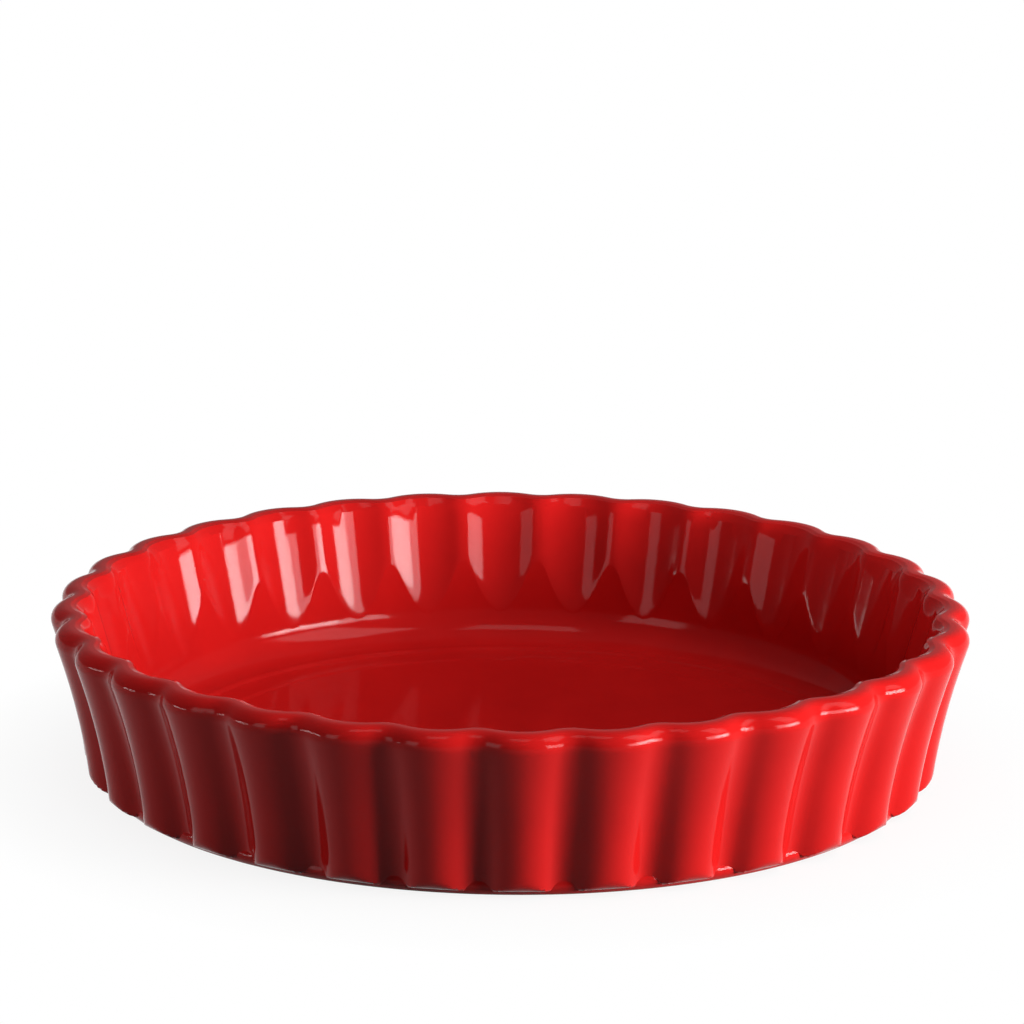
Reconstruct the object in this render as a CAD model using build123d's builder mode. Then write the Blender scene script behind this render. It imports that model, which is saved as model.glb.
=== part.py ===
"""A deep fluted quiche dish in glazed stoneware.

Millimetres, +Z up, origin on the table at the centre of the foot. A flute crest points along +X.
The fired clay body, the glaze over it and the glaze on its underside are separate pieces. All the
fluted surfaces are lofted through outlines of tangent arcs, broad lobes with narrower valleys
between them, so that the glaze lies on the clay at an even thickness.
"""

from build123d import *
import os
from math import atan2, cos, degrees, hypot, radians, sin

os.makedirs("parts", exist_ok=True)

# Driving dimensions
flute_count = 32
rim_radius = 142.7
dish_height = 52.4
heel_radius = 130.3
foot_radius = 124.4
floor_level = 6.5
glaze_thickness = 0.4

# Outside of the wall, where the crests run from the heel to the rim in a hollow curve
wall_hollow = 1.8
heel_flute_depth = 5.5
rim_flute_depth = 2.9
heel_valley_round = 5.5
rim_valley_round = 11.0
heel_round = 8.0
heel_lift = 0.6
heel_blend_height = 10.0
heel_clearance = 0.05
section_shares = (0.0, 0.34, 0.68, 1.0)

# Foot, a smooth band that shows in the valleys below the lobes
foot_height = 4.8
foot_bulge = 1.5
foot_top_bulge = 0.9
foot_ring_width = 8.4
recess_depth = 1.4
recess_draft = 0.4
bare_foot_height = 0.5

# Lip, rolled outside and eased inside, with a small bevel over each inner scallop
lip_round = 4.4
lip_ease = 1.5
lip_width = 9.3
lip_inner_depth = 3.3
bevel_width = 3.2
bevel_drop = 3.2

# Inner scallops, which fade into the smooth lower bowl
scallop_rim_radius = 131.5
scallop_end_radius = 120.9
scallop_end_level = 14.0
scallop_depth = 2.4
ridge_round = 9.0

# Smooth bowl below the scallops, with its cove and the rings round the floor
bowl_rim_radius = 126.2
bowl_base_radius = 119.9
cove_round = 11.0
ring_outer_radius = 106.5
ring_outer_rise = 0.8
ring_inner_radius = 96.5
ring_inner_rise = 0.4
ring_slope_width = 1.6
ring_ease = 0.7

cut_overrun = 5.0

pitch_angle = 360 / flute_count


def polar(radius, angle):
    return (radius * cos(radians(angle)), radius * sin(radians(angle)))


def draw_flutes(crest_radius, depth, valley_round):
    """Draw a closed outline of lobes out to crest_radius, joined by valleys, all tangent arcs."""
    valley_centre = crest_radius - depth + valley_round
    along, across = polar(valley_centre, pitch_angle / 2)
    lobe_round = (crest_radius**2 + valley_centre**2 - 2 * crest_radius * along - valley_round**2) / (
        2 * (crest_radius + valley_round - along)
    )
    # The arcs meet on the line between their centres
    valley_share = valley_round / (valley_round + lobe_round)
    meet_along = along + valley_share * (crest_radius - lobe_round - along)
    meet_across = across * (1 - valley_share)
    meet_radius = hypot(meet_along, meet_across)
    meet_angle = degrees(atan2(meet_across, meet_along))
    for flute in range(flute_count):
        crest_angle = flute * pitch_angle
        valley_angle = crest_angle + pitch_angle / 2
        lobe_start = polar(meet_radius, crest_angle - meet_angle)
        lobe_end = polar(meet_radius, crest_angle + meet_angle)
        next_start = polar(meet_radius, crest_angle + pitch_angle - meet_angle)
        ThreePointArc(lobe_start, polar(crest_radius, crest_angle), lobe_end)
        ThreePointArc(lobe_end, polar(crest_radius - depth, valley_angle), next_start)


def fluted_section(height, crest_radius, depth, valley_round):
    """One filled outline at a height, for a loft."""
    with BuildSketch(Plane.XY.offset(height)) as section:
        with BuildLine():
            draw_flutes(crest_radius, depth, valley_round)
        make_face()
    return section.sketch


def crest_at(share):
    """Radius of the outer crests at a share of the dish's height."""
    straight = heel_radius + (rim_radius - heel_radius) * share
    return straight - 4 * wall_hollow * share * (1 - share)


def turned(points, rounds=(), corners=()):
    """Solid turned about Z from a closed profile of (radius, height), with some corners rounded."""
    with BuildPart() as part:
        with BuildSketch(Plane.XZ) as profile:
            with BuildLine():
                Polyline(*points, close=True)
            make_face()
            for corner, size in zip(corners, rounds):
                fillet(profile.vertices().sort_by_distance(points[corner])[0], size)
        revolve(axis=Axis.Z)
    return part.part


def outer_wall(inset):
    """Fluted outside with its rolled lip, drawn inwards by the inset."""
    top = dish_height - inset
    with BuildPart() as wall:
        sections = []
        for share in section_shares:
            depth = heel_flute_depth + (rim_flute_depth - heel_flute_depth) * share
            valley_round = heel_valley_round + (rim_valley_round - heel_valley_round) * share
            crest = crest_at(share) - inset
            sections.append(fluted_section(share * top, crest, depth, valley_round + inset))
        loft(sections)
        fillet(wall.faces().sort_by(Axis.Z)[-1].outer_wire().edges(), lip_round - inset)
    return wall.part


def lip_mouth(inset):
    """Cutter for the lip's inner edge and the bevels below it, drawn outwards by the inset."""
    top = dish_height - inset
    crest = rim_radius - lip_width + inset
    with BuildPart() as mouth:
        upper = fluted_section(top, crest, lip_inner_depth, ridge_round - inset)
        lower_crest = crest - bevel_width
        lower = fluted_section(top - bevel_drop, lower_crest, scallop_depth, ridge_round - inset)
        loft([lower, upper], ruled=True)
    return mouth.part


def scallop_cutter(inset):
    """Cutter for the inner scallops, drawn outwards by the inset."""
    rise = dish_height - scallop_end_level
    lean = (scallop_rim_radius - scallop_end_radius) / rise
    with BuildPart() as cutter:
        sections = []
        for level in (scallop_end_level, dish_height + cut_overrun):
            crest = scallop_end_radius + lean * (level - scallop_end_level) + inset
            sections.append(fluted_section(level, crest, scallop_depth, ridge_round - inset))
        loft(sections, ruled=True)
    return cutter.part


def bowl_cutter(inset):
    """Cutter for the smooth bowl, its cove and the rings round its floor, sunk by the inset."""
    floor = floor_level - inset
    inner_ring = floor + ring_inner_rise
    outer_ring = inner_ring + ring_outer_rise
    top = dish_height + cut_overrun
    lean = (bowl_rim_radius - bowl_base_radius) / (dish_height - floor_level)
    top_radius = bowl_rim_radius + lean * cut_overrun + inset
    points = [
        (0, floor),
        (ring_inner_radius, floor),
        (ring_inner_radius + ring_slope_width, inner_ring),
        (ring_outer_radius, inner_ring),
        (ring_outer_radius + ring_slope_width, outer_ring),
        (bowl_base_radius + inset, outer_ring),
        (top_radius, top),
        (0, top),
    ]
    rounds = (ring_ease, ring_ease, ring_ease, ring_ease, cove_round + inset)
    return turned(points, rounds, (1, 2, 3, 4, 5))


def heel_limit(inset):
    """Turned form that rounds the lower end of every lobe."""
    blend_share = heel_blend_height / dish_height
    blend_radius = crest_at(blend_share) + heel_clearance - inset
    base_radius = heel_radius + heel_clearance - inset
    top = dish_height + cut_overrun
    points = [
        (0, heel_lift + inset),
        (base_radius, heel_lift + inset),
        (blend_radius, heel_blend_height),
        (rim_radius + cut_overrun, top),
        (0, top),
    ]
    return turned(points, (heel_round - inset,), (1,))


def foot_band(inset):
    """Smooth foot under the lobes, standing on the table."""
    edge = foot_radius - inset
    with BuildPart() as band:
        with BuildSketch(Plane.XZ):
            with BuildLine():
                top_edge = (edge + foot_top_bulge, foot_height)
                Polyline(top_edge, (0, foot_height), (0, 0), (edge, 0))
                ThreePointArc((edge, 0), (edge + foot_bulge, foot_height / 2), top_edge)
            make_face()
        revolve(axis=Axis.Z)
    return band.part


def dish_form(inset):
    """The whole dish, with its glazed surfaces drawn in by the inset and a plain underside."""
    with BuildPart() as form:
        add(outer_wall(inset))
        add(lip_mouth(inset), mode=Mode.SUBTRACT)
        mouth_edges = form.faces().sort_by(Axis.Z)[-1].inner_wires()[0].edges()
        fillet(mouth_edges, lip_ease - inset)
        add(heel_limit(inset), mode=Mode.INTERSECT)
        add(scallop_cutter(inset), mode=Mode.SUBTRACT)
        add(foot_band(inset))
        add(bowl_cutter(inset), mode=Mode.SUBTRACT)
    return form.part


recess_radius = foot_radius - glaze_thickness - foot_ring_width
glazed_form = dish_form(0)
clay_form = dish_form(glaze_thickness)

# Fired clay, with a foot ring that is left bare where it stands
with BuildPart() as stoneware_body:
    add(clay_form)
    recess_roof = recess_depth + glaze_thickness
    recess_points = [
        (0, -cut_overrun),
        (recess_radius, -cut_overrun),
        (recess_radius, 0),
        (recess_radius - recess_draft, recess_roof),
        (0, recess_roof),
    ]
    add(turned(recess_points), mode=Mode.SUBTRACT)
stoneware_body.part.label = "stoneware_body"

# Glaze over the inside, the lip and the outside, wiped off just above the table
with BuildPart() as glaze_coat:
    add(glazed_form)
    add(clay_form, mode=Mode.SUBTRACT)
    bare_points = [
        (0, -cut_overrun),
        (rim_radius, -cut_overrun),
        (rim_radius, bare_foot_height),
        (0, bare_foot_height),
    ]
    add(turned(bare_points), mode=Mode.SUBTRACT)
glaze_coat.part.label = "glaze_coat"

# Glaze on the sunk underside, inside the bare foot ring
with BuildPart() as base_glaze:
    edge_radius = recess_radius - recess_draft
    edge_spread = recess_draft * glaze_thickness / recess_roof
    glaze_points = [
        (0, recess_depth),
        (edge_radius + edge_spread, recess_depth),
        (edge_radius, recess_roof),
        (0, recess_roof),
    ]
    add(turned(glaze_points))
base_glaze.part.label = "base_glaze"

for piece in (stoneware_body, glaze_coat, base_glaze):
    export_step(piece.part, f"parts/{piece.part.label}.step")
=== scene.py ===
"""Dresses and lights a deep fluted quiche dish in glossy red glaze.

The glaze and the clay under it are each modelled from one flute that is copied round the dish. The glaze
of the sunk underside keeps its CAD shape and gets the same red glaze as the surface.
"""

from math import asin, atan2, cos, pi, radians, sin, sqrt, tan

import bpy
from bpy.props import FloatProperty, FloatVectorProperty, IntProperty, PointerProperty
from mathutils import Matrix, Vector


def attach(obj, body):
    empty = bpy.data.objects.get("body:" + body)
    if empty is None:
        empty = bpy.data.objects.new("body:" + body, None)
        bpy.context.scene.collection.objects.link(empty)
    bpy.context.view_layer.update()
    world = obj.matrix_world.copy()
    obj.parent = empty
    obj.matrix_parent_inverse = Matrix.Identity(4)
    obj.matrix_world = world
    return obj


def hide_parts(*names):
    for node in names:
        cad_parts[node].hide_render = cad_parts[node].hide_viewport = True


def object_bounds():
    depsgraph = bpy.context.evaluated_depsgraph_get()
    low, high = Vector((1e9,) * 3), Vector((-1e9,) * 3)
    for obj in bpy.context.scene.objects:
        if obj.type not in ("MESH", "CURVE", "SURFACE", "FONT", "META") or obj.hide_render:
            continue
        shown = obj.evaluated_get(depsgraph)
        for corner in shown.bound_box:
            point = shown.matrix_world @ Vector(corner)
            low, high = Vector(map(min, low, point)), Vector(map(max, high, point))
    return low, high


bl_info = {
    "name": "Fluted Quiche Dish",
    "version": (1, 0, 0),
    "blender": (4, 5, 0),
    "location": "View3D > Sidebar > Dish",
    "description": "Models, glazes and lights a deep fluted quiche dish",
    "category": "Add Mesh",
}

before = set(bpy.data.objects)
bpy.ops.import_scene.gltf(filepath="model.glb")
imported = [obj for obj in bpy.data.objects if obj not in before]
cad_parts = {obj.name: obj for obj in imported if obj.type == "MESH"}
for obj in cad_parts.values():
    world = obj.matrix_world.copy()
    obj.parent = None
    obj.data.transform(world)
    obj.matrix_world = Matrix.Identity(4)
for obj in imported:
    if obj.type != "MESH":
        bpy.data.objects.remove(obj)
cad_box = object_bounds()
MM = 0.001
CAD_HEIGHT_MM = cad_box[1][2] / MM

# Columns of the mesh across one flute, the sharpest angle that is still shaded smooth, and the reach
# within which the edges of neighbouring flutes are joined
COLUMNS = 18
SMOOTH_ANGLE = radians(28)
MERGE_MM = 0.002
SEARCH_STEPS = 40

# Shares of the glaze's thickness: the skin is modelled thinner, and the clay lies clear below it
SKIN_SHARE = 0.75
CLAY_SHARE = 0.9

# Radii of the rows of the mesh on the flat floor and on the sunk underside
FLOOR_ROWS_MM = (80.0, 50.0, 20.0, 0.0)
UNDERSIDE_ROW_MM = 60.0

# Strength of the paper as a light, dark so that the heel stays dark, and its tone to the eye
PAPER_LIT = "#606060"
PAPER_SEEN = "#F0F0F0"
PAPER_SIZE_MM = 9000

# Radii in metres between which the paper goes from slightly shaded to its full white
PAPER_FADE = {"From Min": 0.125, "From Max": 0.18, "To Min": 0.88, "To Max": 1.0}

# The backdrop is white at the horizon, and the studio's ceiling above it is dark
BACKDROP_FADE = {"From Min": 0.0, "From Max": 0.1, "To Min": 1.0, "To Max": 0.28}
ROOM_LIGHT = 0.025

# Name, azimuth, elevation, distance, width and height in mm, power in watts
LAMPS = (
    ("tall softbox", -20, 46, 1250, (520, 900), 7.8),
    ("low softbox", -23, 9, 1250, (600, 320), 21.5),
    ("left panel", 188, 5, 1500, (700, 160), 5),
    ("overhead panel", -100, 73, 1300, (500, 400), 2.0),
)

# Only the gloss shows these wide panels, so that the fluted shading keeps its contrast
SHEEN_PANELS = (
    ("right sheen", -33, 11, 1400, (960, 440), 26),
    ("left sheen", -138, 16, 1400, (480, 620), 3.5),
)
LAMP_AIM_MM = (0, 0, 30)


def linear(hex_colour):
    """Linear values with alpha, from a colour written as sRGB hex."""
    channels = [int(hex_colour[i : i + 2], 16) / 255 for i in (1, 3, 5)]
    return [c / 12.92 if c <= 0.04045 else ((c + 0.055) / 1.055) ** 2.4 for c in channels] + [1.0]


def length(default, description):
    """A size in millimetres, with its description as its name."""
    return FloatProperty(name=description, description=description + ", in mm", default=default)


def colour(default, description):
    """A colour given as sRGB hex."""
    return FloatVectorProperty(
        name=description, description=description, subtype="COLOR", size=4, default=linear(default)
    )


class GlazedFormSizes(bpy.types.PropertyGroup):
    """Sizes of the dish in millimetres. The radius of a fluted form is that of its crests."""

    flute_count: IntProperty(name="Flutes", description="Flutes round the dish", default=32, min=12)
    glaze: length(0.4, "Thickness of the glaze")

    rim_radius: length(142.7, "Outer crest at the lip")
    height: length(CAD_HEIGHT_MM, "Table to the top of the lip")
    heel_radius: length(130.3, "Outer crest followed down to the table")
    wall_hollow: length(1.8, "Hollow of the wall's upright line")
    heel_depth: length(5.5, "Depth of a valley at the table")
    rim_depth: length(2.9, "Depth of a valley at the lip")
    heel_valley_round: length(5.5, "Round of a valley at the table")
    rim_valley_round: length(11.0, "Round of a valley at the lip")

    heel_lift: length(1.8, "Table to the underside of a lobe")
    heel_round: length(5.5, "Round of a lobe's lower end")
    heel_reach: length(131.27, "Lobe where its lower round ends")
    heel_lean: FloatProperty(
        name="Lean of a lobe's end", description="Lean over the lower round, across per height", default=0.2
    )
    heel_top: length(10.0, "Table to where the wall takes over from the lobe's end")

    foot_radius: length(124.4, "Foot at the table")
    foot_height: length(4.8, "Height of the foot band")
    foot_bulge: length(1.5, "Bulge of the foot band")
    foot_top_bulge: length(0.9, "Spread of the foot band at its top")
    foot_line: length(0.4, "Table to where the glaze is wiped off")

    lip_round: length(4.4, "Roll of the lip outside")
    lip_ease: length(1.5, "Ease of the lip inside")
    mouth_radius: length(133.4, "Inner crest at the lip")
    mouth_depth: length(3.3, "Depth of a scallop at the lip")
    bevel_width: length(3.2, "Bevel under the lip, across")
    bevel_drop: length(3.2, "Bevel under the lip, down")

    scallop_rim_radius: length(131.5, "Scallop at the lip's height")
    scallop_end_radius: length(120.5, "Scallop at its lower end")
    scallop_end: length(14.0, "Table to a scallop's lower end")
    scallop_depth: length(2.4, "Depth of a scallop")
    ridge_round: length(9.0, "Round of a ridge between scallops")

    bowl_rim_radius: length(126.2, "Smooth bowl at the lip's height")
    bowl_base_radius: length(119.9, "Smooth bowl at the floor")
    cove_round: length(11.0, "Cove between bowl and floor")
    floor_level: length(6.5, "Table to the floor")
    outer_ring: length(108.6, "Outer ring on the floor")
    outer_ring_rise: length(0.8, "Rise of the outer ring")
    outer_ring_slope: length(2.6, "Slope of the outer ring")
    inner_ring: length(98.5, "Inner ring on the floor")
    inner_ring_rise: length(0.4, "Rise of the inner ring")
    inner_ring_slope: length(2.4, "Slope of the inner ring")

    bare_ring_outer: length(124.0, "Bare foot ring, outside")
    bare_ring_inner: length(115.6, "Bare foot ring, inside")
    recess_radius: length(115.2, "Roof of the sunk underside")
    recess_roof: length(1.8, "Table to the clay of the sunk underside")


class GlazeColours(bpy.types.PropertyGroup):
    """Colours of the finishes."""

    glaze_red: colour("#CE1B1A", "Body colour of the glaze")
    glaze_deep: colour("#BC1616", "Glaze where it lies thick")
    clay: colour("#C9AE8E", "Bare fired clay")
    grog: colour("#A88A6A", "Dark grog in the clay")


class StudioSizes(bpy.types.PropertyGroup):
    """The camera's place, in millimetres and degrees."""

    camera_distance: length(1850.0, "Camera to the dish's foot")
    camera_azimuth: FloatProperty(name="Azimuth", description="Round the dish, in degrees", default=-91.67)
    camera_elevation: FloatProperty(name="Elevation", description="Above the table, in degrees", default=17.2)
    camera_roll: FloatProperty(name="Roll", description="Tilt of the camera, in degrees", default=0.51)
    aim_height: length(81.6, "Point over the dish that is centred")
    lens: length(210.6, "Focal length of the lens")
    sensor: length(36.0, "Width of the sensor")


def edit_all(piece):
    """Makes a piece active, opens it in edit mode and selects all of it."""
    bpy.ops.object.select_all(action="DESELECT")
    piece.select_set(True)
    bpy.context.view_layer.objects.active = piece
    bpy.ops.object.mode_set(mode="EDIT")
    bpy.ops.mesh.select_all(action="SELECT")


def add_node(tree, kind, settings=None, links=None):
    """Adds a node, sets its sockets and properties by name or number, and links its inputs."""
    node = tree.nodes.new(kind)
    for name, value in (settings or {}).items():
        if isinstance(name, int) or name in node.inputs:
            node.inputs[name].default_value = value
        else:
            setattr(node, name, value)
    for name, source in (links or {}).items():
        tree.links.new(source, node.inputs[name])
    return node


def new_material(name):
    """An empty node material and its tree, with the output node."""
    material = bpy.data.materials.new(name)
    material.use_nodes = True
    material.node_tree.nodes.clear()
    output = material.node_tree.nodes.new("ShaderNodeOutputMaterial")
    return material, material.node_tree, output


def flute_radius(crest, depth, valley_round, angle, half_pitch):
    """Radius of a fluted outline of tangent arcs, at an angle from the nearest crest."""
    valley_centre = crest - depth + valley_round
    along, across = valley_centre * cos(half_pitch), valley_centre * sin(half_pitch)
    lobe_round = (crest**2 + valley_centre**2 - 2 * crest * along - valley_round**2) / (
        2 * (crest + valley_round - along)
    )
    share = valley_round / (valley_round + lobe_round)
    lobe_centre = crest - lobe_round
    meet_along = along + share * (lobe_centre - along)
    meet_across = across * (1 - share)
    if angle <= atan2(meet_across, meet_along):
        return lobe_centre * cos(angle) + sqrt(lobe_round**2 - (lobe_centre * sin(angle)) ** 2)
    rest = half_pitch - angle
    return valley_centre * cos(rest) - sqrt(valley_round**2 - (valley_centre * sin(rest)) ** 2)


def spread(first, last, rows, power=1.0):
    """Values from first to last, last left out, closer together at first where power is over 1."""
    return [first + (last - first) * (i / rows) ** power for i in range(rows)]


def between(first, last, share):
    """The value at a share of the way from first to last."""
    return first + (last - first) * share


def eased(share):
    """A share that starts and ends softly."""
    return 3 * share**2 - 2 * share**3


def solve(low, high, rises):
    """The value between low and high where rises() turns from false to true."""
    for _ in range(SEARCH_STEPS):
        middle = (low + high) / 2
        if rises(middle):
            high = middle
        else:
            low = middle
    return (low + high) / 2


def outside_points(sizes, angle, outside):
    """The line from the foot up the outside of the wall, and over the lip's roll to its flat top."""
    s = sizes

    def heel(z):
        if z < s.heel_lift:
            return 0.0
        centre = s.heel_lift + s.heel_round
        swing = sqrt(s.heel_round**2 - max(0.0, centre - z) ** 2)
        return s.heel_reach - s.heel_round + swing + s.heel_lean * max(0.0, z - centre)

    def lower(z):
        return min(outside(z), heel(z))

    def band(z):
        middle = s.foot_height / 2
        bulge = s.foot_bulge * (1 - ((z - middle) / middle) ** 2)
        return s.foot_radius + bulge + s.foot_top_bulge * (z / s.foot_height) ** 2

    # The foot band runs up to the edge where the lobe comes out over it
    lowest_edge = 0.62
    edge = solve(lowest_edge, s.foot_height, lambda z: lower(z) > band(z))
    points = [(band(z), z) for z in spread(s.foot_line, edge, rows=5)]
    points += [(lower(z), z) for z in spread(edge, s.heel_top, rows=10, power=2.0)]

    # The roll of the lip meets the wall's lean, which is taken over a short rise below the top
    top, roll, rise = s.height, s.lip_round, 3.0
    wall_lean = atan2(outside(top) - outside(top - rise), rise)
    set_back = roll / tan((pi / 2 - wall_lean) / 2)
    roll_start = top - set_back * cos(wall_lean)
    points += [(outside(z), z) for z in spread(s.heel_top, roll_start, rows=6)]
    lip = outside(top) - set_back
    points += [
        (lip + roll * cos(a), top - roll + roll * sin(a))
        for a in spread(-wall_lean, pi / 2, rows=9)
    ]
    return points, lip


def floor_points(sizes, cove_radius, ledge):
    """The line from the cove over the two rings to the middle of the floor."""
    s = sizes
    outer_end, inner_end = s.outer_ring - s.outer_ring_slope, s.inner_ring - s.inner_ring_slope
    shares = spread(0.0, 1.0, rows=5)
    points = [(r, ledge) for r in spread(cove_radius, s.outer_ring, rows=2)]
    points += [
        (between(s.outer_ring, outer_end, t), ledge - s.outer_ring_rise * eased(t)) for t in shares
    ]
    shelf = s.floor_level + s.inner_ring_rise
    points += [(r, shelf) for r in spread(outer_end, s.inner_ring, rows=2)]
    points += [
        (between(s.inner_ring, inner_end, t), shelf - s.inner_ring_rise * eased(t)) for t in shares
    ]
    return points + [(r, s.floor_level) for r in (inner_end,) + FLOOR_ROWS_MM]


def flute_profile(sizes, angle):
    """(radius, height) points of the glazed surface at an angle from a crest, from foot to centre."""
    s = sizes
    half_pitch = pi / s.flute_count
    top = s.height

    def outside(z):
        share = z / top
        crest = between(s.heel_radius, s.rim_radius, share) - 4 * s.wall_hollow * share * (1 - share)
        depth = between(s.heel_depth, s.rim_depth, share)
        valley_round = between(s.heel_valley_round, s.rim_valley_round, share)
        return flute_radius(crest, depth, valley_round, angle, half_pitch)

    def mouth(z):
        share = (top - z) / s.bevel_drop
        crest = s.mouth_radius - s.bevel_width * share
        depth = between(s.mouth_depth, s.scallop_depth, share)
        return flute_radius(crest, depth, s.ridge_round, angle, half_pitch)

    def scallop(z):
        lean = (s.scallop_rim_radius - s.scallop_end_radius) / (top - s.scallop_end)
        crest = s.scallop_end_radius + lean * (z - s.scallop_end)
        return flute_radius(crest, s.scallop_depth, s.ridge_round, angle, half_pitch)

    def bowl(z):
        lean = (s.bowl_rim_radius - s.bowl_base_radius) / (top - s.floor_level)
        return s.bowl_base_radius + lean * (z - s.floor_level)

    cove = s.cove_round
    ledge = s.floor_level + s.outer_ring_rise + s.inner_ring_rise
    bowl_lean = atan2(s.bowl_rim_radius - s.bowl_base_radius, top - s.floor_level)
    cove_top = ledge + cove * (1 - sin(bowl_lean))
    cove_radius = bowl(cove_top) - cove * cos(bowl_lean)

    def basin(z):
        return bowl(z) if z > cove_top else cove_radius + sqrt(cove**2 - (ledge + cove - z) ** 2)

    points, lip = outside_points(s, angle, outside)

    # The lip's flat top and eased inner edge, and the bevel down to the scallop or the bowl
    ease, deepest_bevel, least_bevel = s.lip_ease, 3.0, 0.3
    brink = mouth(top) + ease
    points += [(r, top) for r in spread(lip, brink, rows=3)]
    points += [
        (brink - ease * sin(a), top - ease + ease * cos(a)) for a in spread(0.0, pi / 4, rows=3)
    ]
    ease_end = top - ease + ease * cos(pi / 4)
    join = solve(0.0, deepest_bevel, lambda d: mouth(top - d) < max(scallop(top - d), bowl(top - d)))
    join_level = min(top - join, ease_end - least_bevel)
    points += [(mouth(z), z) for z in spread(ease_end, join_level, rows=2)]

    # The scallop fades on the basin in a crease, with a row just below it and the cove's turn under that
    end_margin, highest_fade, crease_row, least_turn = 0.3, 40.0, 0.5, 1.1
    fade = solve(s.scallop_end + end_margin, highest_fade, lambda z: scallop(z) > basin(z))
    turn_level = min(fade - least_turn, cove_top)
    points += [(scallop(z), z) for z in spread(join_level, fade, rows=6)]
    points += [(scallop(fade), fade)]
    points += [(basin(z), z) for z in spread(fade - crease_row, turn_level, rows=3)]
    turn = asin((ledge + cove - turn_level) / cove)
    points += [
        (cove_radius + cove * cos(a), ledge + cove - cove * sin(a))
        for a in spread(turn, pi / 2, rows=7)
    ]
    return points + floor_points(s, cove_radius, ledge)


def clay_profile(sizes, angle):
    """The same line for the clay: underside and foot ring, then the form drawn in below the glaze."""
    s = sizes
    depth = CLAY_SHARE * s.glaze
    line = [(radius, s.recess_roof) for radius in (0.0, UNDERSIDE_ROW_MM, s.recess_radius)]
    line += [(s.bare_ring_inner, 0.0), (s.bare_ring_outer, 0.0)]
    points = flute_profile(s, angle)
    for i, (radius, height) in enumerate(points):
        before, after = points[max(i - 1, 0)], points[min(i + 1, len(points) - 1)]
        run, rise = after[0] - before[0], after[1] - before[1]
        reach = depth / sqrt(run**2 + rise**2)
        line.append((radius - rise * reach, height + run * reach))
    return line


def spin_flutes(context, name, profile):
    """Models one flute from its lines at several angles, and copies it round the dish."""
    sizes = context.scene.dish_sizes
    half_pitch = pi / sizes.flute_count
    # Columns stand closer together towards the valleys, where the surface turns fastest
    shares = [2 * i / COLUMNS - 1 for i in range(COLUMNS + 1)]
    angles = [half_pitch * (0.5 * s + 0.5 * sin(s * pi / 2)) for s in shares]
    rows = [profile(sizes, abs(angle)) for angle in angles]
    last = len(rows[0]) - 1
    bpy.ops.object.select_all(action="DESELECT")
    bpy.ops.mesh.primitive_grid_add(x_subdivisions=COLUMNS, y_subdivisions=last, size=2.0)
    piece = context.active_object
    piece.name = name
    for vertex in piece.data.vertices:
        column = round((vertex.co.x + 1) / 2 * COLUMNS)
        station = round((vertex.co.y + 1) / 2 * last)
        angle = angles[column]
        radius, height = rows[column][station]
        vertex.co = Vector((radius * cos(angle), radius * sin(angle), height)) * MM
    edit_all(piece)
    copies = sizes.flute_count - 1
    bpy.ops.mesh.spin(
        steps=copies,
        dupli=True,
        angle=2 * pi * copies / sizes.flute_count,
        center=(0, 0, 0),
        axis=(0, 0, 1),
    )
    bpy.ops.mesh.select_all(action="SELECT")
    bpy.ops.mesh.remove_doubles(threshold=MERGE_MM * MM)
    bpy.ops.mesh.normals_make_consistent(inside=False)
    bpy.ops.object.mode_set(mode="OBJECT")
    return piece


def red_glaze(colours):
    """Red glaze over stoneware, sprayed and fired to a glassy coat.

    A deep body colour lies under a hard, clear gloss. It thins to a brighter red where the coat ran off,
    and the fired surface keeps a faint waviness that bends the edges of its reflections.
    """
    cloud_size, wave_size, wave_height = 22 * MM, 7 * MM, 0.25 * MM
    material, tree, output = new_material("Glazed Stoneware Red")
    place = add_node(tree, "ShaderNodeTexCoord").outputs["Object"]
    cloud = add_node(
        tree, "ShaderNodeTexNoise", {"Scale": 1 / cloud_size, "Detail": 3.0}, {"Vector": place}
    )
    tone = add_node(
        tree,
        "ShaderNodeMix",
        {"data_type": "RGBA", 6: colours.glaze_deep, 7: colours.glaze_red},
        {"Factor": cloud.outputs["Fac"]},
    )
    wave = add_node(
        tree, "ShaderNodeTexNoise", {"Scale": 1 / wave_size, "Detail": 2.0}, {"Vector": place}
    )
    ripple = add_node(
        tree, "ShaderNodeBump", {"Strength": 0.12, "Distance": wave_height}, {"Height": wave.outputs["Fac"]}
    )
    shader = add_node(
        tree,
        "ShaderNodeBsdfPrincipled",
        {"Roughness": 0.09, "IOR": 1.45, "Specular IOR Level": 0.09},
        {"Base Color": tone.outputs[2], "Normal": ripple.outputs["Normal"]},
    )
    tree.links.new(shader.outputs["BSDF"], output.inputs["Surface"])
    return material


def bare_clay(colours):
    """Fired stoneware clay, ground flat on the foot ring. It is matte and warm, with fine dark grog."""
    grog_size, grain_height = 1.2 * MM, 0.1 * MM
    material, tree, output = new_material("Fired Stoneware Clay")
    place = add_node(tree, "ShaderNodeTexCoord").outputs["Object"]
    grog = add_node(
        tree, "ShaderNodeTexNoise", {"Scale": 1 / grog_size, "Detail": 4.0}, {"Vector": place}
    )
    tone = add_node(
        tree,
        "ShaderNodeMix",
        {"data_type": "RGBA", 6: colours.grog, 7: colours.clay},
        {"Factor": grog.outputs["Fac"]},
    )
    grain = add_node(
        tree, "ShaderNodeBump", {"Strength": 0.3, "Distance": grain_height}, {"Height": grog.outputs["Fac"]}
    )
    shader = add_node(
        tree,
        "ShaderNodeBsdfPrincipled",
        {"Roughness": 0.85},
        {"Base Color": tone.outputs[2], "Normal": grain.outputs["Normal"]},
    )
    tree.links.new(shader.outputs["BSDF"], output.inputs["Surface"])
    return material


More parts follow.
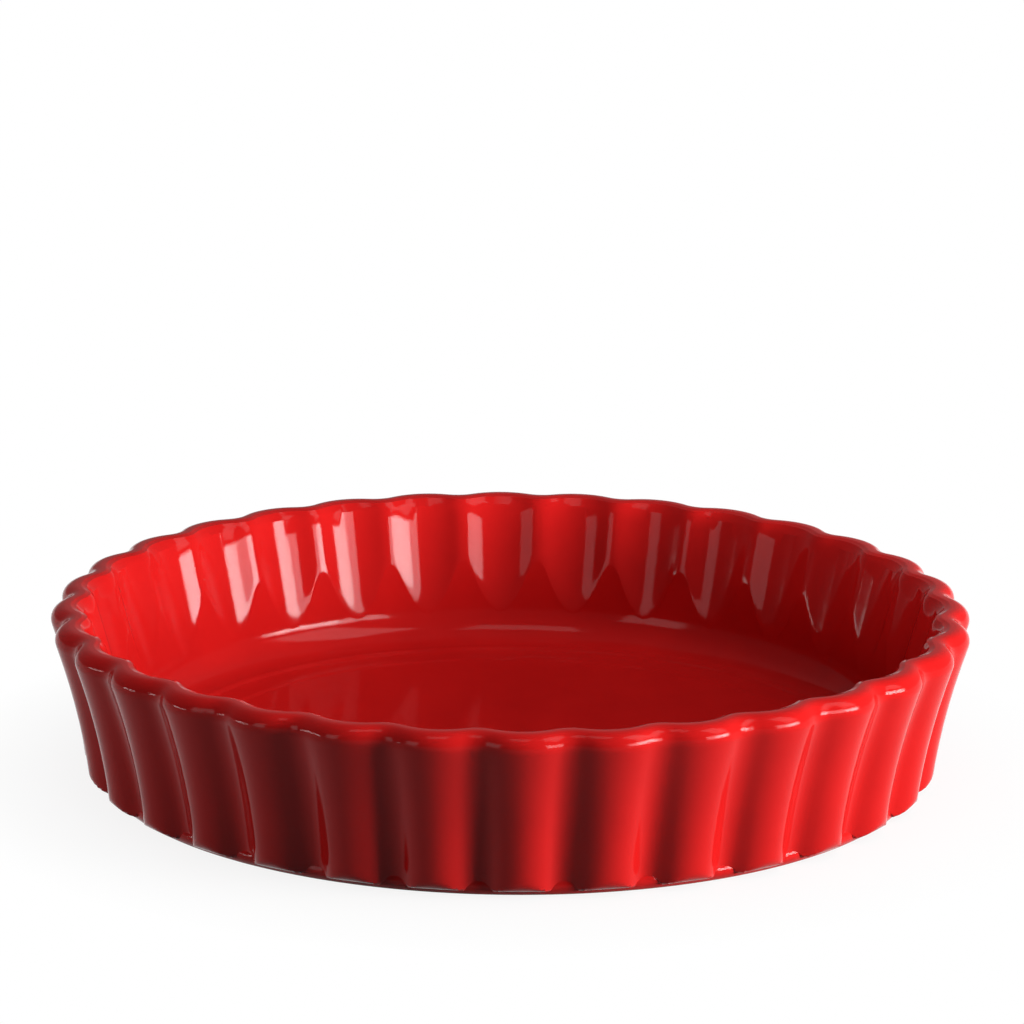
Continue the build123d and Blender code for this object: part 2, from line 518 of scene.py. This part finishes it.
class QUICHE_OT_glaze(bpy.types.Operator):
    """Model the glazed surface from one flute, copied round the dish."""

    bl_idname = "quiche.glaze"
    bl_label = "Glazed Surface"

    def execute(self, context):
        piece = spin_flutes(context, "glazed_surface", flute_profile)
        skin = piece.modifiers.new("Glaze Thickness", "SOLIDIFY")
        skin.thickness = SKIN_SHARE * context.scene.dish_sizes.glaze * MM
        skin.offset = -1.0
        bpy.ops.object.modifier_apply(modifier=skin.name)
        bpy.ops.object.shade_smooth_by_angle(angle=SMOOTH_ANGLE)
        piece.data.materials.append(red_glaze(context.scene.dish_colours))
        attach(piece, "root")
        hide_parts("glaze_coat")
        return {"FINISHED"}


class QUICHE_OT_body(bpy.types.Operator):
    """Model the clay body with its bare foot ring, and finish the glaze of the sunk underside."""

    bl_idname = "quiche.body"
    bl_label = "Clay Body and Underside"

    def execute(self, context):
        clay = spin_flutes(context, "clay_body", clay_profile)
        bpy.ops.object.shade_smooth_by_angle(angle=SMOOTH_ANGLE)
        clay.data.materials.append(bare_clay(context.scene.dish_colours))
        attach(clay, "root")
        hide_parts("stoneware_body")
        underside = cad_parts["base_glaze"]
        underside.data.materials.clear()
        underside.data.materials.append(bpy.data.materials["Glazed Stoneware Red"])
        return {"FINISHED"}


def from_dish(azimuth, elevation, distance):
    """The place at two angles in degrees and a distance in mm from the dish."""
    around, up = radians(azimuth), radians(elevation)
    return Vector((cos(up) * cos(around), cos(up) * sin(around), sin(up))) * distance * MM


def add_softbox(name, azimuth, elevation, distance, size, power):
    """A rectangular area lamp that faces the dish. Distances are in mm, angles in degrees."""
    lamp = bpy.data.lights.new(name, "AREA")
    lamp.shape = "RECTANGLE"
    lamp.size = size[0] * MM
    lamp.size_y = size[1] * MM
    lamp.energy = power
    holder = bpy.data.objects.new(name, lamp)
    bpy.context.scene.collection.objects.link(holder)
    aim = Vector(LAMP_AIM_MM) * MM
    holder.location = from_dish(azimuth, elevation, distance) + aim
    holder.rotation_euler = (aim - holder.location).to_track_quat("-Z", "Y").to_euler()
    return holder


def seen_rays(tree):
    """1 for camera, glossy and transmission rays, 0 for the rays that light the scene."""
    path = add_node(tree, "ShaderNodeLightPath")
    pair = add_node(
        tree,
        "ShaderNodeMath",
        {"operation": "MAXIMUM"},
        {0: path.outputs["Is Camera Ray"], 1: path.outputs["Is Glossy Ray"]},
    )
    three = add_node(
        tree,
        "ShaderNodeMath",
        {"operation": "MAXIMUM"},
        {0: pair.outputs["Value"], 1: path.outputs["Is Transmission Ray"]},
    )
    return three.outputs["Value"]


class QUICHE_OT_stage(bpy.types.Operator):
    """Add the floor, the soft studio light and the camera."""

    bl_idname = "quiche.stage"
    bl_label = "Floor, Lights and Camera"

    def execute(self, context):
        bpy.ops.object.select_all(action="DESELECT")
        bpy.ops.mesh.primitive_plane_add(size=PAPER_SIZE_MM * MM)
        floor = context.active_object
        floor.name = "floor"
        floor.data.materials.append(self.floor_material())
        for lamp in LAMPS:
            add_softbox(*lamp)
        for panel in SHEEN_PANELS:
            add_softbox(*panel).visible_diffuse = False
        self.light_world(context)
        self.place_camera(context, context.scene.dish_studio)
        return {"FINISHED"}

    def floor_material(self):
        """Pale seamless paper, matte, which stays white to the eye outside the dish's shadow."""
        material, tree, output = new_material("White Seamless Paper")
        seen = seen_rays(tree)
        tone = add_node(
            tree,
            "ShaderNodeMix",
            {"data_type": "RGBA", 6: linear(PAPER_LIT), 7: linear(PAPER_SEEN)},
            {"Factor": seen},
        )
        paper = add_node(tree, "ShaderNodeBsdfDiffuse", None, {"Color": tone.outputs[2]})
        glow = add_node(tree, "ShaderNodeEmission", {"Color": linear("#FFFFFF"), "Strength": 1.0})
        place = add_node(tree, "ShaderNodeTexCoord").outputs["Object"]
        reach = add_node(tree, "ShaderNodeVectorMath", {"operation": "LENGTH"}, {0: place})
        share = add_node(tree, "ShaderNodeMapRange", PAPER_FADE, {"Value": reach.outputs["Value"]})
        bright = add_node(
            tree, "ShaderNodeMath", {"operation": "MULTIPLY"}, {0: share.outputs["Result"], 1: seen}
        )
        lift = add_node(
            tree,
            "ShaderNodeMixShader",
            None,
            {"Fac": bright.outputs["Value"], 1: paper.outputs["BSDF"], 2: glow.outputs["Emission"]},
        )
        tree.links.new(lift.outputs["Shader"], output.inputs["Surface"])
        return material

    def light_world(self, context):
        """Pale backdrop at the horizon, and a dark studio ceiling over it."""
        world = bpy.data.worlds.new("Studio")
        context.scene.world = world
        world.use_nodes = True
        tree = world.node_tree
        tree.nodes.clear()
        way = add_node(tree, "ShaderNodeTexCoord").outputs["Generated"]
        height = add_node(tree, "ShaderNodeSeparateXYZ", None, {"Vector": way})
        backdrop = add_node(tree, "ShaderNodeMapRange", BACKDROP_FADE, {"Value": height.outputs["Z"]})
        strength = add_node(
            tree,
            "ShaderNodeMix",
            {"data_type": "FLOAT", 2: ROOM_LIGHT},
            {"Factor": seen_rays(tree), 3: backdrop.outputs["Result"]},
        )
        sky = add_node(
            tree,
            "ShaderNodeBackground",
            {"Color": linear("#FFFFFF")},
            {"Strength": strength.outputs["Result"]},
        )
        output = add_node(tree, "ShaderNodeOutputWorld")
        tree.links.new(sky.outputs["Background"], output.inputs["Surface"])

    def place_camera(self, context, studio):
        """Long lens at the photograph's viewing angle."""
        camera = bpy.data.cameras.new("camera")
        camera.lens = studio.lens
        camera.sensor_width = studio.sensor
        holder = bpy.data.objects.new("camera", camera)
        context.scene.collection.objects.link(holder)
        holder.location = from_dish(studio.camera_azimuth, studio.camera_elevation, studio.camera_distance)
        aim = Vector((0, 0, studio.aim_height)) * MM
        holder.rotation_euler = (aim - holder.location).to_track_quat("-Z", "Y").to_euler()
        holder.rotation_euler.rotate_axis("Z", radians(studio.camera_roll))
        context.scene.camera = holder


class QUICHE_PT_panel(bpy.types.Panel):
    """Sizes, colours and steps of the dish."""

    bl_idname = "QUICHE_PT_panel"
    bl_label = "Quiche Dish"
    bl_space_type = "VIEW_3D"
    bl_region_type = "UI"
    bl_category = "Dish"

    def draw(self, context):
        column = self.layout.column()
        scene = context.scene
        for group in (scene.dish_sizes, scene.dish_colours, scene.dish_studio):
            for name in group.__annotations__:
                column.prop(group, name)
        for step in STEPS:
            column.operator(step.bl_idname)


STEPS = (QUICHE_OT_glaze, QUICHE_OT_body, QUICHE_OT_stage)
CLASSES = (GlazedFormSizes, GlazeColours, StudioSizes) + STEPS + (QUICHE_PT_panel,)


def register():
    for cls in CLASSES:
        bpy.utils.register_class(cls)
    bpy.types.Scene.dish_sizes = PointerProperty(type=GlazedFormSizes)
    bpy.types.Scene.dish_colours = PointerProperty(type=GlazeColours)
    bpy.types.Scene.dish_studio = PointerProperty(type=StudioSizes)


def unregister():
    del bpy.types.Scene.dish_studio
    del bpy.types.Scene.dish_colours
    del bpy.types.Scene.dish_sizes
    for cls in reversed(CLASSES):
        bpy.utils.unregister_class(cls)


def main():
    register()
    bpy.context.scene.view_settings.view_transform = "Standard"
    bpy.ops.quiche.glaze()
    bpy.ops.quiche.body()
    bpy.ops.quiche.stage()


if __name__ == "__main__":
    main()
